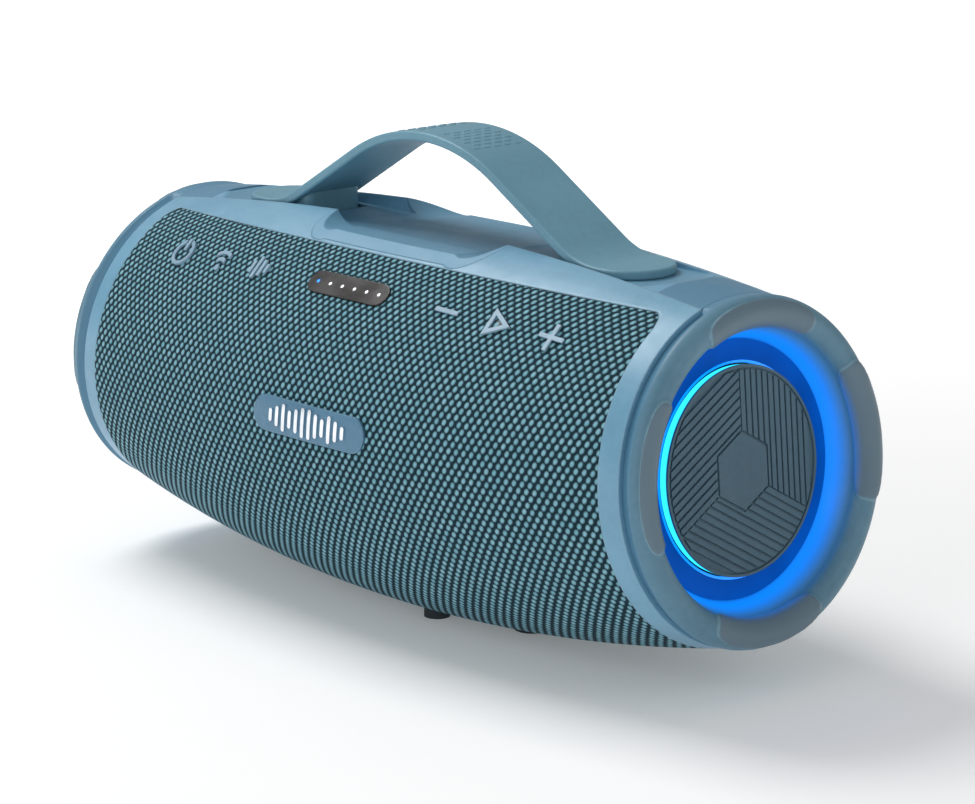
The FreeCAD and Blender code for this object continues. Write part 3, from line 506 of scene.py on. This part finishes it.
def arc_through(a, m, b, count):
    """Points along the circle from a through m to b, a left out."""
    (ax, ay), (mx, my), (bx, by) = a, m, b
    d = 2 * (ax * (my - by) + mx * (by - ay) + bx * (ay - my))
    aa, mm, bb = ax * ax + ay * ay, mx * mx + my * my, bx * bx + by * by
    cx = (aa * (my - by) + mm * (by - ay) + bb * (ay - my)) / d
    cy = (aa * (bx - mx) + mm * (ax - bx) + bb * (mx - ax)) / d
    start = math.atan2(ay - cy, ax - cx)
    whole = (math.atan2(by - cy, bx - cx) - start) % (2 * math.pi)
    part = (math.atan2(my - cy, mx - cx) - start) % (2 * math.pi)
    if part > whole:
        whole -= 2 * math.pi
    radius = math.hypot(ax - cx, ay - cy)
    turns = [start + whole * k / count for k in range(1, count + 1)]
    return [(cx + radius * math.cos(t), cy + radius * math.sin(t)) for t in turns]


def smooth(value):
    value = min(1.0, max(0.0, value))
    return value * value * (3 - 2 * value)


def pad_share(along, angle):
    """0 between the crest's pads, rising over a short slope to 1 on them."""
    lens = []
    for middle in PADS:
        off = (angle - middle + 180) % 360 - 180
        lens.append(1 - (off / PAD_HALF) ** 4 - ((along - PAD_MIDDLE) / PAD_WIDTH) ** 4)
    return smooth(max(lens) / PAD_SLOPE)


def ring_point(profile, k, crest, angle):
    """Point k of the ring's section at an angle, raised on pads and at the tongue, and its pad share."""
    out, radius = profile[k]
    first, last = crest
    share = 0.0
    if first < k < last:
        share = pad_share((k - first) / (last - first), angle)
        before, after = profile[k - 1], profile[k + 1]
        slope = Vector((after[1] - before[1], before[0] - after[0])).normalized()
        out += slope.x * PAD_RISE * share
        radius += slope.y * PAD_RISE * share
    if k >= last:
        across = abs(radius * math.cos(math.radians(angle)))
        at_top = math.sin(math.radians(angle)) > 0
        inside = (TONGUE_HALF + TONGUE_SOFT / 2 - across) / TONGUE_SOFT
        fill = smooth(inside) if at_top else 0.0
        radius += (TONGUE_R - radius) * fill
    return out, radius, share


def ring_section():
    """Corners of the ring's section from the recess to the valley, and which of them bound the crest."""
    foot, lip = WALL
    shares = [k / WALL_STEPS for k in range(WALL_STEPS + 1)]
    profile = [(foot[0] + (lip[0] - foot[0]) * t, foot[1] + (lip[1] - foot[1]) * t) for t in shares]
    start = len(profile) - 1
    profile += arc_through(*CREST, CREST_STEPS)
    end = len(profile) - 1
    profile += arc_through(*VALLEY, VALLEY_STEPS)
    profile += [VALLEY_END, (VALLEY_END[0] - VALLEY_TUCK, VALLEY_END[1] - VALLEY_TUCK)]
    return profile, (start, end)


def bumper_skin(side, material):
    """The bumper as a smooth ring with lens-shaped pads, and its CAD tongue over the barrel's top."""
    centre, axis = end_axis(side)
    origin = centre - axis * GUIDE_OUT
    front = Vector((0, -1, 0))
    up = (Vector((0, 0, 1)) - axis * axis.z).normalized()
    profile, crest = ring_section()
    built = bmesh.new()
    pad = built.verts.layers.float.new("pad")
    rings = []
    for turn in range(RING_STEPS):
        angle = 360 * turn / RING_STEPS
        radial = front * math.cos(math.radians(angle)) + up * math.sin(math.radians(angle))
        ring = []
        for k in range(len(profile)):
            out, radius, share = ring_point(profile, k, crest, angle)
            corner = built.verts.new(origin + axis * (out * MM) + radial * (radius * MM))
            corner[pad] = share
            ring.append(corner)
        rings.append(ring)
    for turn in range(RING_STEPS):
        here = rings[turn]
        there = rings[(turn + 1) % RING_STEPS]
        for k in range(len(profile) - 1):
            built.faces.new((here[k], here[k + 1], there[k + 1], there[k])).smooth = True
    bmesh.ops.recalc_face_normals(built, faces=built.faces)
    skin = piece(f"bumper_skin_{side}", mesh_of(built, f"bumper_skin_{side}"), material)
    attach(skin, "root")
    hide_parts(f"bumper_{side}")
    tongue(side, origin, axis, material)


def tongue(side, origin, axis, material):
    """The part of the CAD bumper that runs over the barrel's top, short of the ring."""
    mesh = frame["nodes"][f"bumper_{side}"].data.copy()
    cut = bmesh.new()
    cut.from_mesh(mesh)
    plane = cut.verts[:] + cut.edges[:] + cut.faces[:]
    place = origin + axis * (TONGUE_START * MM)
    bmesh.ops.bisect_plane(cut, geom=plane, plane_co=place, plane_no=axis, clear_outer=True)
    spigot = []
    for face in cut.faces:
        middle = face.calc_center_median() - origin
        across = (middle - axis * middle.dot(axis)).length
        if across < SPIGOT_R * MM or middle.z < TONGUE_LOW * MM:
            spigot.append(face)
    bmesh.ops.delete(cut, geom=spigot, context="FACES")
    cut.to_mesh(mesh)
    cut.free()
    over_top = piece(f"bumper_tongue_{side}", mesh, material)
    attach(over_top, "root")


def grip_dashes(material):
    """Short raised bars over the strap's crown, in staggered rows."""
    low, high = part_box("strap_handle")
    middle = Vector(((low.x + high.x) / 2, 0, high.z - CROWN_R))
    built = bmesh.new()
    for row in range(DASH_ROWS):
        for column in range(-2, 3):
            across = (column + 0.5 * (row % 2)) * DASH_PITCH
            if abs(across) > DASH_SIDE:
                continue
            for side in (-1, 1):
                turn = Matrix.Rotation(side * math.radians(FIRST_ROW + ROW_STEP * row), 4, "Y")
                spot = Matrix.Translation(middle) @ turn @ Matrix.Translation((0, across, CROWN_R))
                add_dash(built, spot)
    dashes = piece("strap_grip", mesh_of(built, "strap_grip"), material)
    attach(dashes, "root")


def add_dash(built, spot):
    """A round-ended bar, lying across Y, with a sloping side down into the surface."""
    end = DASH_HALF_LENGTH - DASH_HALF_WIDTH
    levels = ((0.25 * MM, -0.4 * MM), (0.12 * MM, DASH_RISE * 0.3), (0.0, DASH_RISE))
    rings = []
    for grow, z in levels:
        ring = []
        for k in range(DASH_CORNERS):
            turn = 2 * math.pi * k / DASH_CORNERS
            x = (DASH_HALF_WIDTH + grow) * math.cos(turn)
            y = (DASH_HALF_WIDTH + grow) * math.sin(turn) + (end if math.sin(turn) >= 0 else -end)
            ring.append(built.verts.new(spot @ Vector((x, y, z))))
        rings.append(ring)
    for lower, upper in zip(rings, rings[1:]):
        for k in range(DASH_CORNERS):
            after = (k + 1) % DASH_CORNERS
            built.faces.new((lower[k], lower[after], upper[after], upper[k])).smooth = True
    built.faces.new(rings[-1])
    built.faces.new(list(reversed(rings[0])))


def floor():
    bpy.ops.mesh.primitive_plane_add(size=16, location=(0, 0, cad_box[0].z))
    plane = bpy.context.object
    plane.name = "floor"
    g = Graph("pale_floor")
    far = g.vector("LENGTH", g.place, output="Value")
    tooth = g.bump(g.noise(3 * MM, 3.0), 0.05 * MM)
    g.set(Base_Color=tint(250, 250, 250), Roughness=0.9, Normal=tooth, Emission_Color=tint(255, 255, 255),
          Emission_Strength=g.span(far, 0.2, 1.1, 0.16, 0.62))
    plane.data.materials.append(g.material)


def soft_light(name, place, size, power):
    """A rectangular light of power watts, turned to the speaker's middle."""
    data = bpy.data.lights.new(name, "AREA")
    data.shape = "RECTANGLE"
    data.size = size[0]
    data.size_y = size[1]
    data.energy = power
    light = bpy.data.objects.new(name, data)
    light.location = place
    towards = Vector((0, 0, AXIS_Z)) - Vector(place)
    light.rotation_euler = towards.to_track_quat("-Z", "Y").to_euler()
    bpy.context.scene.collection.objects.link(light)


def studio():
    world = bpy.data.worlds.new("studio")
    world.use_nodes = True
    sky = world.node_tree.nodes["Background"]
    sky.inputs["Color"].default_value = (1, 1, 1, 1)
    sky.inputs["Strength"].default_value = 0.36
    bpy.context.scene.world = world
    bpy.context.scene.view_settings.view_transform = "Standard"
    soft_light("top_left", (-0.75, -0.15, 1.25), (0.8, 0.6), 12)
    soft_light("front_fill", (0.35, -1.5, 0.75), (1.2, 0.8), 4.6)
    soft_light("right_fill", (1.5, 0.15, 0.8), (0.7, 0.7), 2.2)


def camera():
    az = math.radians(AZIMUTH)
    el = math.radians(ELEVATION)
    back = Vector((math.sin(az) * math.cos(el), -math.cos(az) * math.cos(el), math.sin(el)))
    right = Vector((0, 0, 1)).cross(back).normalized()
    up = back.cross(right)
    roll = math.radians(ROLL)
    turned_right = right * math.cos(roll) + up * math.sin(roll)
    turned_up = up * math.cos(roll) - right * math.sin(roll)
    data = bpy.data.cameras.new("camera")
    data.lens = LENS
    data.sensor_width = SENSOR
    data.clip_start = 0.05
    data.clip_end = 50
    eye = bpy.data.objects.new("camera", data)
    basis = Matrix((turned_right, turned_up, back)).transposed()
    eye.matrix_world = Matrix.Translation(TARGET + back * DISTANCE) @ basis.to_4x4()
    bpy.context.scene.collection.objects.link(eye)
    bpy.context.scene.camera = eye


materials = slot_materials()
dress(materials)
sheet = grille_sheet(materials["grille_cloth"])
for end in ("right", "left"):
    bumper_skin(end, bumper_material(end))
grip_dashes(materials["strap_rubber"])
floor()
studio()
camera()
